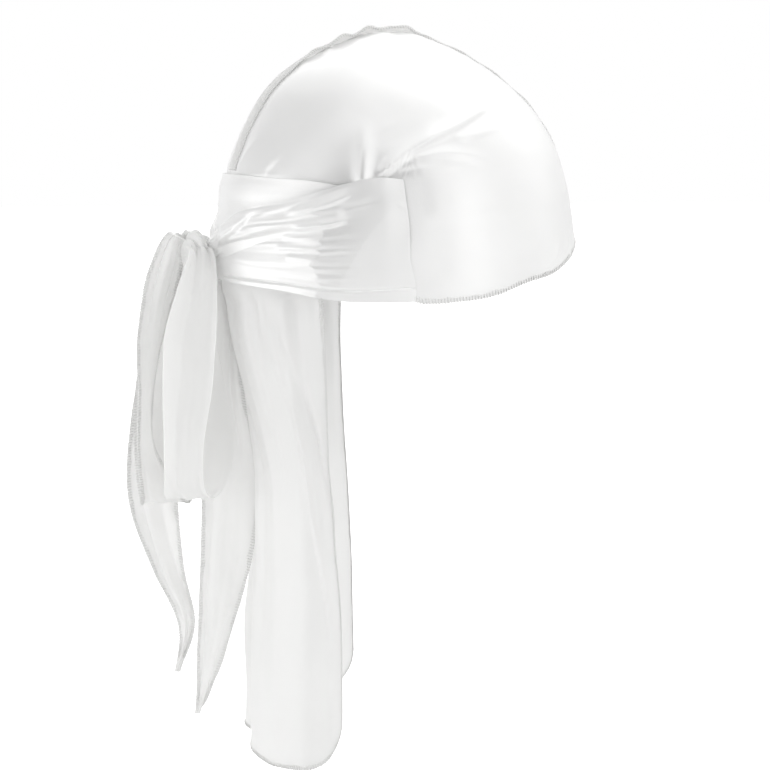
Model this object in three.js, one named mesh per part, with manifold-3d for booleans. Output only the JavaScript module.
// A durag in its worn form: a cap of two panels with a raised centre seam, wide ties that are
// knotted in a bow behind the head, and a long cape gathered at the nape.
// Millimetres, +Z up. The wearer faces -Y and the wearer's right side is -X.
// The origin is the inside of the crown's top, where the head carries the cap.

import * as THREE from 'three';
import { mergeVertices } from 'three/addons/utils/BufferGeometryUtils.js';
import Module from 'manifold-3d';

const wasm = await Module();
wasm.setup();

// Cap
const crownLength = 204;
const crownWidth = 156;
const crownDepth = 150;
const clothWall = 1.1;
const layerGap = 0.35;
const seamHeight = 4;
const seamWall = 1.6;
const seamWaveLength = 42;
const seamSway = 1.8;
const seamLean = 2.4;

// Ties and the band around the nape
const sideSeamTurn = 92;
const tieEndTurn = 176.5;
const tiePleatHeight = 2.2;
const napeWrapTurn = 113;

// Knot and bow, measured from the middle of the knot
const knotDrop = 122;
const knotStandOff = 13.5;
const knotWidth = 24;
const knotDepth = 21;
const knotHeight = 28;
const bowWidth = 64;
const bowReach = 40;
const loopDrop = 140;
const tailDrop = 264;
const ribbonWidth = 30;

// Cape
const capeLength = 280;
const capeRightTurn = 127;
const capeLeftTurn = 99;
const capePleatHeight = 4.5;
const capeCorner = 28;

// Crown sections from the top down: depth as a share of crownDepth, reach to the back and to
// the brow as shares of crownLength, reach to one side as a share of crownWidth
const crownRows = [
  { down: 0, back: 0.03, brow: -0.03, side: 0 },
  { down: 0.012, back: 0.098, brow: 0.044, side: 0.09 },
  { down: 0.04, back: 0.157, brow: 0.098, side: 0.16 },
  { down: 0.08, back: 0.225, brow: 0.167, side: 0.234 },
  { down: 0.14, back: 0.309, brow: 0.243, side: 0.308 },
  { down: 0.213, back: 0.368, brow: 0.314, side: 0.365 },
  { down: 0.307, back: 0.412, brow: 0.382, side: 0.413 },
  { down: 0.427, back: 0.453, brow: 0.434, side: 0.455 },
  { down: 0.573, back: 0.485, brow: 0.468, side: 0.484 },
  { down: 0.733, back: 0.502, brow: 0.488, side: 0.499 },
  { down: 0.867, back: 0.502, brow: 0.498, side: 0.5 },
  { down: 1, back: 0.495, brow: 0.5, side: 0.494 },
];

// Lower edge of the crown, from the brow round to the nape: turn in degrees, depth as a share
// of crownDepth
const hemRows = [
  { turn: 0, down: 0.79 },
  { turn: 12, down: 0.802 },
  { turn: 22, down: 0.85 },
  { turn: 33, down: 0.9 },
  { turn: 45, down: 0.93 },
  { turn: 58, down: 0.975 },
  { turn: 72, down: 0.993 },
  { turn: 90, down: 0.993 },
  { turn: 97, down: 0.885 },
  { turn: 104, down: 0.88 },
  { turn: 120, down: 0.88 },
  { turn: 150, down: 0.88 },
  { turn: 180, down: 0.88 },
];

// Folds that the ties pull into each side of the crown, from the temple towards the brow:
// start and end on the head, ridge height in clothWall and breadth in degrees
const crownFolds = [
  { fromTurn: 106, fromDown: 0.52, toTurn: 58, toDown: 0.3, high: 1.5, broad: 4.5 },
  { fromTurn: 104, fromDown: 0.54, toTurn: 60, toDown: 0.46, high: 1.3, broad: 4 },
  { fromTurn: 112, fromDown: 0.54, toTurn: 111, toDown: 0.36, high: 1.2, broad: 4 },
];

// One tie, from the side seam to the knot: its edges as shares of crownDepth, and how far it
// lifts off the head towards the knot, as a share of knotStandOff
const tieRows = [
  { along: 0, upper: 0.545, lower: 0.993, lift: 0 },
  { along: 0.15, upper: 0.538, lower: 0.993, lift: 0 },
  { along: 0.3, upper: 0.56, lower: 0.99, lift: 0 },
  { along: 0.43, upper: 0.592, lower: 0.974, lift: 0 },
  { along: 0.57, upper: 0.626, lower: 0.951, lift: 0 },
  { along: 0.7, upper: 0.645, lower: 0.938, lift: 0 },
  { along: 0.82, upper: 0.672, lower: 0.93, lift: 0.02 },
  { along: 0.92, upper: 0.73, lower: 0.925, lift: 0.14 },
  { along: 1, upper: 0.785, lower: 0.92, lift: 0.5 },
];

// Pleats along a tie: place across it at the side seam and at the knot, where they start,
// height in tiePleatHeight and breadth as a share of the tie's width
const tiePleats = [
  { seam: 0.08, knot: 0.2, start: 0.15, high: 0.8, broad: 0.09 },
  { seam: 0.22, knot: 0.42, start: 0.05, high: -0.9, broad: 0.07 },
  { seam: 0.32, knot: 0.55, start: 0.25, high: 1, broad: 0.08 },
  { seam: 0.6, knot: 0.75, start: 0.4, high: 0.7, broad: 0.09 },
];

// Band around the nape, from one side to the other: edges as shares of crownDepth
const napeWrapRows = [
  { upper: 0.585, lower: 0.84 },
  { upper: 0.555, lower: 0.89 },
  { upper: 0.545, lower: 0.905 },
  { upper: 0.536, lower: 0.91 },
  { upper: 0.534, lower: 0.91 },
  { upper: 0.536, lower: 0.91 },
  { upper: 0.545, lower: 0.905 },
  { upper: 0.555, lower: 0.89 },
  { upper: 0.585, lower: 0.84 },
];

// Bow, from the middle of the knot: side is in bowWidth, back in bowReach, down in loopDrop,
// wide and cup in ribbonWidth, lean in degrees about the vertical
const loopRightRows = [
  { side: -0.04, back: 0.02, down: -0.02, wide: 0.25, cup: 0, lean: 0 },
  { side: -0.2, back: -0.01, down: 0.02, wide: 0.48, cup: 0.05, lean: 4 },
  { side: -0.37, back: 0.1, down: 0.16, wide: 0.76, cup: 0.1, lean: 8 },
  { side: -0.46, back: 0.22, down: 0.34, wide: 0.97, cup: 0.12, lean: 6 },
  { side: -0.48, back: 0.27, down: 0.56, wide: 0.93, cup: 0.1, lean: 4 },
  { side: -0.47, back: 0.32, down: 0.77, wide: 0.76, cup: 0.08, lean: 4 },
  { side: -0.4, back: 0.3, down: 0.93, wide: 0.76, cup: 0.05, lean: 0 },
  { side: -0.28, back: 0.2, down: 1, wide: 0.88, cup: 0.02, lean: -4 },
  { side: -0.16, back: 0, down: 0.95, wide: 0.98, cup: 0, lean: -6 },
  { side: -0.1, back: -0.13, down: 0.79, wide: 1, cup: -0.04, lean: -6 },
  { side: -0.08, back: -0.03, down: 0.56, wide: 0.9, cup: -0.04, lean: -4 },
  { side: -0.08, back: 0.03, down: 0.32, wide: 0.66, cup: 0, lean: 0 },
  { side: -0.07, back: 0.02, down: 0.1, wide: 0.38, cup: 0, lean: 0 },
  { side: -0.04, back: 0, down: 0.02, wide: 0.22, cup: 0, lean: 0 },
];

const loopLeftRows = [
  { side: 0.05, back: 0.05, down: -0.03, wide: 0.25, cup: 0, lean: 0 },
  { side: 0.1, back: 0.25, down: -0.05, wide: 0.45, cup: 0, lean: -4 },
  { side: 0.12, back: 0.42, down: 0.09, wide: 0.66, cup: -0.05, lean: -12 },
  { side: 0.13, back: 0.56, down: 0.24, wide: 0.72, cup: -0.06, lean: -28 },
  { side: 0.14, back: 0.68, down: 0.42, wide: 0.74, cup: -0.07, lean: -50 },
  { side: 0.15, back: 0.72, down: 0.62, wide: 0.74, cup: -0.07, lean: -60 },
  { side: 0.17, back: 0.69, down: 0.8, wide: 0.74, cup: -0.05, lean: -52 },
  { side: 0.22, back: 0.54, down: 0.95, wide: 0.72, cup: -0.02, lean: -28 },
  { side: 0.32, back: 0.4, down: 1.03, wide: 0.84, cup: 0, lean: -8 },
  { side: 0.43, back: 0.26, down: 1.03, wide: 0.92, cup: 0.04, lean: 2 },
  { side: 0.49, back: 0.2, down: 0.88, wide: 0.97, cup: 0.06, lean: 6 },
  { side: 0.48, back: 0.22, down: 0.62, wide: 1, cup: 0.07, lean: 6 },
  { side: 0.4, back: 0.2, down: 0.36, wide: 0.88, cup: 0.06, lean: 4 },
  { side: 0.2, back: 0.1, down: 0.15, wide: 0.5, cup: 0.02, lean: 0 },
  { side: 0.06, back: 0.02, down: 0.06, wide: 0.25, cup: 0, lean: 0 },
];

// Free ends, from the knot to the tip, in the same units but with down in tailDrop
const tailRightRows = [
  { side: 0.01, back: -0.05, down: 0.02, wide: 0.25, cup: 0, lean: 0 },
  { side: 0.03, back: -0.16, down: 0.15, wide: 0.5, cup: 0, lean: 0 },
  { side: 0.04, back: -0.24, down: 0.29, wide: 0.74, cup: 0.03, lean: 0 },
  { side: 0.04, back: -0.33, down: 0.43, wide: 0.9, cup: 0.06, lean: -2 },
  { side: 0.02, back: -0.34, down: 0.56, wide: 0.93, cup: 0.08, lean: -4 },
  { side: 0, back: -0.3, down: 0.72, wide: 0.82, cup: 0.08, lean: -6 },
  { side: -0.02, back: -0.19, down: 0.86, wide: 0.6, cup: 0.06, lean: -6 },
  { side: -0.03, back: -0.07, down: 0.95, wide: 0.3, cup: 0.03, lean: -4 },
  { side: -0.03, back: 0.02, down: 1, wide: 0.09, cup: 0, lean: 0 },
];

const tailLeftRows = [
  { side: 0.05, back: 0.05, down: -0.015, wide: 0.25, cup: 0, lean: 0 },
  { side: 0.38, back: 0.14, down: 0.04, wide: 0.42, cup: 0, lean: 4 },
  { side: 0.58, back: 0.3, down: 0.19, wide: 0.7, cup: 0.04, lean: 6 },
  { side: 0.63, back: 0.45, down: 0.38, wide: 0.92, cup: 0.06, lean: 8 },
  { side: 0.62, back: 0.48, down: 0.55, wide: 0.95, cup: 0.06, lean: 8 },
  { side: 0.56, back: 0.28, down: 0.7, wide: 0.62, cup: 0.05, lean: 8 },
  { side: 0.5, back: 0.03, down: 0.82, wide: 0.32, cup: 0, lean: 4 },
  { side: 0.47, back: 0.17, down: 0.925, wide: 0.1, cup: 0, lean: 0 },
];

// Plan of the hanging cape from its right edge to its left edge, where it first hangs free and
// at its lower edge: side in crownWidth, back in crownLength; and its length in capeLength
const capeRows = [
  { side: -0.32, back: 0.245, lowSide: -0.34, lowBack: 0.214, length: 1 },
  { side: -0.301, back: 0.304, lowSide: -0.327, lowBack: 0.287, length: 1 },
  { side: -0.244, back: 0.358, lowSide: -0.263, lowBack: 0.363, length: 1 },
  { side: -0.141, back: 0.392, lowSide: -0.147, lowBack: 0.407, length: 0.995 },
  { side: -0.019, back: 0.402, lowSide: -0.013, lowBack: 0.422, length: 0.965 },
  { side: 0.109, back: 0.387, lowSide: 0.122, lowBack: 0.407, length: 0.935 },
  { side: 0.231, back: 0.333, lowSide: 0.25, lowBack: 0.343, length: 0.92 },
  { side: 0.314, back: 0.226, lowSide: 0.333, lowBack: 0.226, length: 0.915 },
  { side: 0.34, back: 0.098, lowSide: 0.359, lowBack: 0.074, length: 0.905 },
];

// Pleats of the cape: place from its right edge to its left edge, height in capePleatHeight,
// breadth as a share of the cape's width
const capePleats = [
  { at: 0.07, high: 0.6, broad: 0.03 },
  { at: 0.16, high: -0.8, broad: 0.025 },
  { at: 0.24, high: 1, broad: 0.035 },
  { at: 0.34, high: -0.7, broad: 0.03 },
  { at: 0.43, high: 0.9, broad: 0.035 },
  { at: 0.54, high: -0.9, broad: 0.03 },
  { at: 0.64, high: 0.8, broad: 0.035 },
  { at: 0.75, high: -0.8, broad: 0.03 },
  { at: 0.86, high: 0.9, broad: 0.035 },
];

const degrees = Math.PI / 180;
const right = -1;
const left = 1;
const planPower = 2.2;
const crownAxis = crownRows[0].back * crownLength;

const clamp01 = (value) => Math.min(Math.max(value, 0), 1);
const mix = (a, b, share) => a + (b - a) * share;
const bump = (distance, breadth) => Math.exp(-((distance / breadth) ** 2));

function easeInOut(value) {
  const share = clamp01(value);
  return share * share * (3 - 2 * share);
}

// Smooth value of a table's column at a share of the way through its rows
function column(rows, name, share) {
  const place = clamp01(share) * (rows.length - 1);
  const row = Math.min(Math.floor(place), rows.length - 2);
  const last = rows.length - 1;
  const value = (index) => {
    if (index < 0) return 2 * rows[0][name] - rows[1][name];
    if (index > last) return 2 * rows[last][name] - rows[last - 1][name];
    return rows[index][name];
  };
  const [before, from, to, after] = [value(row - 1), value(row), value(row + 1), value(row + 2)];
  const slopeFrom = (to - before) / 2;
  const slopeTo = (after - from) / 2;
  const t = place - row;
  const curve = (2 * t ** 3 - 3 * t ** 2 + 1) * from + (t ** 3 - 2 * t ** 2 + t) * slopeFrom;
  return curve + (-2 * t ** 3 + 3 * t ** 2) * to + (t ** 3 - t ** 2) * slopeTo;
}

// Share of the way through a table at which a rising column reaches a value
function shareWhere(rows, name, value) {
  let low = 0;
  let high = 1;
  for (let step = 0; step < 30; step += 1) {
    const middle = (low + high) / 2;
    if (column(rows, name, middle) < value) low = middle;
    else high = middle;
  }
  return (low + high) / 2;
}

// Outside of the crown: turn in degrees from the brow, share through crownRows
function crownSurface(turn, share, side) {
  const sine = Math.sin(turn * degrees);
  const cosine = Math.cos(turn * degrees);
  const reachBack = column(crownRows, 'back', share) * crownLength - crownAxis;
  const reachBrow = column(crownRows, 'brow', share) * crownLength + crownAxis;
  const reach = Math.max(cosine > 0 ? reachBrow : reachBack, 1e-6);
  const width = Math.max(column(crownRows, 'side', share) * crownWidth, 1e-6);
  const sum = (Math.abs(sine) / width) ** planPower + (Math.abs(cosine) / reach) ** planPower;
  const radius = sum ** (-1 / planPower);
  const depth = column(crownRows, 'down', share) * crownDepth;
  return new THREE.Vector3(side * sine * radius, crownAxis - cosine * radius, clothWall - depth);
}

// A point at a distance outside the crown
function offCrown(turn, share, side, distance) {
  const reach = 0.4;
  const step = 0.004;
  const point = crownSurface(turn, share, side);
  const around = crownSurface(turn + reach, share, side).sub(crownSurface(turn - reach, share, side));
  const lower = crownSurface(turn, Math.min(share + step, 1), side);
  const down = lower.sub(crownSurface(turn, Math.max(share - step, 0), side));
  const normal = share < step ? new THREE.Vector3(0, 0, 1) : around.cross(down).normalize();
  const middle = new THREE.Vector3(0, crownAxis, -crownDepth / 2);
  if (normal.dot(point.clone().sub(middle)) < 0) normal.negate();
  return point.addScaledVector(normal, distance);
}

// Grid of points of a sheet: rows along it, points across it
function gridOf(rowCount, pointCount, pointAt) {
  const grid = [];
  for (let row = 0; row <= rowCount; row += 1) {
    const line = [];
    for (let place = 0; place <= pointCount; place += 1) {
      line.push(pointAt(row / rowCount, place / pointCount));
    }
    grid.push(line);
  }
  return grid;
}

// The same grid moved along its own normals
function offsetGrid(grid, distance) {
  const lastRow = grid.length - 1;
  const lastPlace = grid[0].length - 1;
  return grid.map((line, row) => line.map((point, place) => {
    const ahead = grid[Math.min(row + 1, lastRow)][place];
    const behind = grid[Math.max(row - 1, 0)][place];
    const onward = line[Math.min(place + 1, lastPlace)];
    const back = line[Math.max(place - 1, 0)];
    const normal = ahead.clone().sub(behind).cross(onward.clone().sub(back)).normalize();
    return point.clone().addScaledVector(normal, distance);
  }));
}

function signedVolume(positions, triangles) {
  const corner = (index) => new THREE.Vector3().fromArray(positions, index * 3);
  let volume = 0;
  for (let i = 0; i < triangles.length; i += 3) {
    const [a, b, c] = [corner(triangles[i]), corner(triangles[i + 1]), corner(triangles[i + 2])];
    volume += a.dot(b.cross(c)) / 6;
  }
  return volume;
}

// Closed solid between the two faces of a sheet
function solidBetween(front, back) {
  const rows = front.length;
  const places = front[0].length;
  const positions = [...front.flat(), ...back.flat()].flatMap((point) => point.toArray());
  const frontAt = (row, place) => row * places + place;
  const backAt = (row, place) => rows * places + row * places + place;
  const triangles = [];
  const quad = (a, b, c, d) => triangles.push(a, b, c, a, c, d);
  for (let r = 0; r < rows - 1; r += 1) {
    for (let p = 0; p < places - 1; p += 1) {
      quad(frontAt(r, p), frontAt(r + 1, p), frontAt(r + 1, p + 1), frontAt(r, p + 1));
      quad(backAt(r, p), backAt(r, p + 1), backAt(r + 1, p + 1), backAt(r + 1, p));
    }
    const end = places - 1;
    quad(frontAt(r, 0), backAt(r, 0), backAt(r + 1, 0), frontAt(r + 1, 0));
    quad(frontAt(r, end), frontAt(r + 1, end), backAt(r + 1, end), backAt(r, end));
  }
  for (let p = 0; p < places - 1; p += 1) {
    const end = rows - 1;
    quad(frontAt(0, p), frontAt(0, p + 1), backAt(0, p + 1), backAt(0, p));
    quad(frontAt(end, p), backAt(end, p), backAt(end, p + 1), frontAt(end, p + 1));
  }
  if (signedVolume(positions, triangles) < 0) triangles.reverse();
  return weld(positions, triangles);
}

// Geometry with shared corners merged and collapsed triangles dropped
function weld(positions, triangles) {
  const geometry = new THREE.BufferGeometry();
  geometry.setAttribute('position', new THREE.Float32BufferAttribute(positions, 3));
  geometry.setIndex(triangles);
  const merged = mergeVertices(geometry, 1e-3);
  const index = merged.getIndex().array;
  const kept = [];
  for (let i = 0; i < index.length; i += 3) {
    const [a, b, c] = [index[i], index[i + 1], index[i + 2]];
    if (a !== b && b !== c && c !== a) kept.push(a, b, c);
  }
  merged.setIndex(kept);
  return merged;
}

function toManifold(geometry) {
  const vertProperties = new Float32Array(geometry.getAttribute('position').array);
  const triVerts = new Uint32Array(geometry.getIndex().array);
  return new wasm.Manifold(new wasm.Mesh({ numProp: 3, vertProperties, triVerts }));
}

// What is left of a sheet outside the knot, as one piece
function cutAtKnot(geometry) {
  const cut = toManifold(geometry).subtract(toManifold(knotGeometry(layerGap)));
  const pieces = cut.decompose().sort((a, b) => b.volume() - a.volume());
  const mesh = pieces[0].getMesh();
  const result = new THREE.BufferGeometry();
  result.setAttribute('position', new THREE.BufferAttribute(mesh.vertProperties, 3));
  result.setIndex(new THREE.BufferAttribute(mesh.triVerts, 1));
  return result;
}

// Depth of the crown's lower edge at a turn, as a share through crownRows
function hemShare(turn) {
  const place = shareWhere(hemRows, 'turn', turn);
  return shareWhere(crownRows, 'down', column(hemRows, 'down', place));
}

// Height of the crown's folds at a point
function foldHeight(turn, share) {
  const down = column(crownRows, 'down', share);
  const degreesPerDepth = 90;
  const tieFadeDepth = 0.04;
  const tieFadeTurn = 70;
  const onChart = (turns, downs) => new THREE.Vector2(turns, downs * degreesPerDepth);
  let height = 0;
  for (const fold of crownFolds) {
    const run = onChart(fold.toTurn - fold.fromTurn, fold.toDown - fold.fromDown);
    const here = onChart(turn - fold.fromTurn, down - fold.fromDown);
    const along = clamp01(here.dot(run) / run.lengthSq());
    const away = here.addScaledVector(run, -along).length();
    const fade = Math.sin(Math.PI * Math.sqrt(along));
    height += fold.high * clothWall * fade * bump(away, fold.broad);
  }
  const aboveTie = column(tieRows, 'upper', 0) - down;
  const clearOfTie = easeInOut(aboveTie / tieFadeDepth - 0.2);
  return height * mix(1, clearOfTie, easeInOut((turn - tieFadeTurn) / 12));
}

function crownPanel(side) {
  const turns = 24;
  const steps = 14;
  const halfGap = layerGap / 2;
  const face = (distance) => gridOf(turns, steps, (round, downward) => {
    const turn = round * 180;
    const share = downward * hemShare(turn);
    const point = offCrown(turn, share, side, distance + foldHeight(turn, share));
    point.x += side * halfGap;
    return point;
  });
  return solidBetween(face(0), face(-clothWall));
}

// Raised seam over the top, from the brow to the nape band, leaning to the wearer's right and
// flatter over the brow and down the back
function centerSeam() {
  const lengthSteps = 56;
  const heightSteps = 2;
  const browEnd = hemShare(0);
  const bandClearance = 0.01;
  const napeEnd = shareWhere(crownRows, 'down', napeWrapRows[4].upper) - bandClearance;
  const seamLength = crownLength + crownDepth;
  const browHeight = 0.3;
  const backHeight = 0.5;
  const middleAt = (along, up) => {
    const place = mix(-browEnd, napeEnd, along);
    const turn = place < 0 ? 0 : 180;
    const raisedFromBrow = mix(browHeight, 1, easeInOut((place + 0.25) / 0.3));
    const standing = raisedFromBrow * mix(1, backHeight, easeInOut((place - 0.3) / 0.2));
    const height = layerGap + up * seamHeight * standing;
    const point = offCrown(turn, Math.abs(place), right, height);
    const wave = Math.sin((along * seamLength * 2 * Math.PI) / seamWaveLength);
    point.x = up * standing * (right * seamLean + seamSway * wave);
    return point;
  };
  const face = (half) => gridOf(lengthSteps, heightSteps, (along, up) => {
    const point = middleAt(along, up);
    point.x += (half * seamWall) / 2;
    return point;
  });
  return solidBetween(face(left), face(right));
}

// Distance of a layer's inner face from the crown: layer 1 lies on the crown
const layerOut = (layer) => layer * layerGap + (layer - 1) * clothWall;

// Band around the nape, under the ties
function napeWrap() {
  const steps = 28;
  const across = 4;
  const face = (distance) => gridOf(steps, across, (along, wide) => {
    const turnFromNape = mix(napeWrapTurn - 180, 180 - napeWrapTurn, along);
    const side = turnFromNape < 0 ? right : left;
    const upper = column(napeWrapRows, 'upper', along);
    const lower = column(napeWrapRows, 'lower', along);
    const share = shareWhere(crownRows, 'down', mix(upper, lower, wide));
    return offCrown(180 - Math.abs(turnFromNape), share, side, distance);
  });
  return solidBetween(face(layerOut(1) + clothWall), face(layerOut(1)));
}

function tiePleatAt(along, across) {
  let height = 0;
  for (const pleat of tiePleats) {
    const place = mix(pleat.seam, pleat.knot, along);
    const rise = easeInOut((along - pleat.start) / 0.35);
    height += pleat.high * rise * bump(across - place, pleat.broad);
  }
  return height * tiePleatHeight * mix(0.75, 1, along);
}

// One tie, from the side seam over the nape band; its upper half lifts off into the knot
function tie(side) {
  const steps = 22;
  const across = 10;
  const face = (wall) => gridOf(steps, across, (along, wide) => {
    const place = shareWhere(tieRows, 'along', along);
    const turn = mix(sideSeamTurn, tieEndTurn, along);
    const down = mix(column(tieRows, 'upper', place), column(tieRows, 'lower', place), wide);
    const share = shareWhere(crownRows, 'down', Math.min(down, 1));
    const overBand = easeInOut((turn - sideSeamTurn) / (napeWrapTurn - sideSeamTurn - 3));
    const layer = mix(layerOut(1), layerOut(2), overBand);
    const lift = column(tieRows, 'lift', place) * knotStandOff * (1 - wide) ** 1.5;
    const pleat = Math.max(tiePleatAt(along, wide), 0);
    return offCrown(turn, share, side, layer + lift + pleat + wall);
  });
  return cutAtKnot(solidBetween(face(clothWall), face(0)));
}

function knotMiddle() {
  const share = shareWhere(crownRows, 'down', knotDrop / crownDepth);
  return offCrown(180, share, right, knotStandOff).setX(0);
}

// The knot: a round body with the folds of the cloth wound about it
function knotGeometry(grow) {
  const around = 24;
  const rings = 14;
  const foldCount = 3;
  const foldHeightShare = 0.07;
  const twist = 1.3;
  const shape = new THREE.SphereGeometry(1, around, rings);
  shape.deleteAttribute('normal');
  shape.deleteAttribute('uv');
  const merged = mergeVertices(shape, 1e-5);
  const position = merged.getAttribute('position');
  const middle = knotMiddle();
  const halfSize = new THREE.Vector3(knotWidth, knotDepth, knotHeight).multiplyScalar(0.5);
  halfSize.addScalar(grow);
  for (let i = 0; i < position.count; i += 1) {
    const point = new THREE.Vector3().fromBufferAttribute(position, i);
    const angle = Math.atan2(point.z, point.x) + twist * point.y;
    const ridge = 1 + foldHeightShare * Math.cos(foldCount * angle) * (1 - point.y ** 2);
    point.multiplyScalar(ridge).multiply(halfSize).add(middle);
    position.setXYZ(i, point.x, point.y, point.z);
  }
  return weld(Array.from(position.array), Array.from(merged.getIndex().array));
}

// A hanging ribbon of the bow, led along the rows of a table
function ribbon(rows, drop, steps) {
  const across = 6;
  const middle = knotMiddle();
  const centreAt = (along) => new THREE.Vector3(
    middle.x + column(rows, 'side', along) * bowWidth,
    middle.y + column(rows, 'back', along) * bowReach,
    middle.z - column(rows, 'down', along) * drop,
  );
  const face = gridOf(steps, across, (along, wide) => {
    const lean = column(rows, 'lean', along) * degrees;
    const widthway = new THREE.Vector3(Math.sin(lean), Math.cos(lean), 0);
    const step = 0.01;
    const onward = centreAt(along + step).sub(centreAt(along - step));
    const outward = onward.cross(widthway).normalize();
    const place = 2 * wide - 1;
    const halfWidth = (column(rows, 'wide', along) * ribbonWidth) / 2;
    const cup = column(rows, 'cup', along) * ribbonWidth * (1 - place * place);
    return centreAt(along).addScaledVector(widthway, place * halfWidth).addScaledVector(outward, cup);
  });
  return cutAtKnot(solidBetween(face, offsetGrid(face, clothWall)));
}

// The cape: joined to the crown's lower edge at the nape, then hanging free in pleats
function cape() {
  const columns = 39;
  const steps = 13;
  const jointDepth = column(hemRows, 'down', 1) * crownDepth + layerGap;
  const leaveDepth = crownDepth * 0.93;
  const hangDepth = crownDepth * 1.6;
  const cornerShare = capeCorner / (capeLength * 0.6);
  const face = gridOf(columns, steps, (across, fall) => {
    const fromNape = mix(capeRightTurn - 180, 180 - capeLeftTurn, across);
    const side = fromNape < 0 ? right : left;
    const near = clamp01(1 - Math.min(across, 1 - across) / cornerShare);
    const rounding = capeCorner * (1 - Math.sqrt(1 - near * near));
    const length = column(capeRows, 'length', across) * capeLength - rounding;
    const depth = jointDepth + length * fall * mix(0.45, 1, fall);
    const share = shareWhere(crownRows, 'down', Math.min(depth / crownDepth, 1));
    const onHead = offCrown(180 - Math.abs(fromNape), share, side, 0);
    const hang = easeInOut((depth - leaveDepth) / (hangDepth - leaveDepth));
    const low = easeInOut((fall - 0.5) / 0.4);
    const hangX = mix(column(capeRows, 'side', across), column(capeRows, 'lowSide', across), low);
    const hangY = mix(column(capeRows, 'back', across), column(capeRows, 'lowBack', across), low);
    const point = onHead.clone();
    point.x = mix(onHead.x, hangX * crownWidth, hang);
    point.y = mix(onHead.y, hangY * crownLength, hang);
    point.z = clothWall - depth;
    let pleat = 0;
    for (const fold of capePleats) pleat += fold.high * bump(across - fold.at, fold.broad);
    const outward = new THREE.Vector3(point.x, point.y - crownAxis, 0).normalize();
    return point.addScaledVector(outward, pleat * capePleatHeight * hang);
  });
  return solidBetween(face, offsetGrid(face, -clothWall));
}

const satin = (shade) => new THREE.MeshStandardMaterial({ color: shade, roughness: 0.38, metalness: 0 });

const durag = new THREE.Group();

function add(name, geometry, shade) {
  const mesh = new THREE.Mesh(geometry, satin(shade));
  mesh.name = name;
  durag.add(mesh);
}

add('crown_right', crownPanel(right), 0xf6f6f5);
add('crown_left', crownPanel(left), 0xf6f6f5);
add('center_seam', centerSeam(), 0xeeeeed);
add('nape_wrap', napeWrap(), 0xf5f5f4);
add('tie_right', tie(right), 0xf4f4f3);
add('tie_left', tie(left), 0xf4f4f3);
add('knot', knotGeometry(0), 0xf2f2f1);
add('loop_right', ribbon(loopRightRows, loopDrop, 24), 0xf4f4f3);
add('loop_left', ribbon(loopLeftRows, loopDrop, 24), 0xf4f4f3);
add('tail_right', ribbon(tailRightRows, tailDrop, 18), 0xf4f4f3);
add('tail_left', ribbon(tailLeftRows, tailDrop, 18), 0xf4f4f3);
add('cape', cape(), 0xf3f3f2);

export default durag;
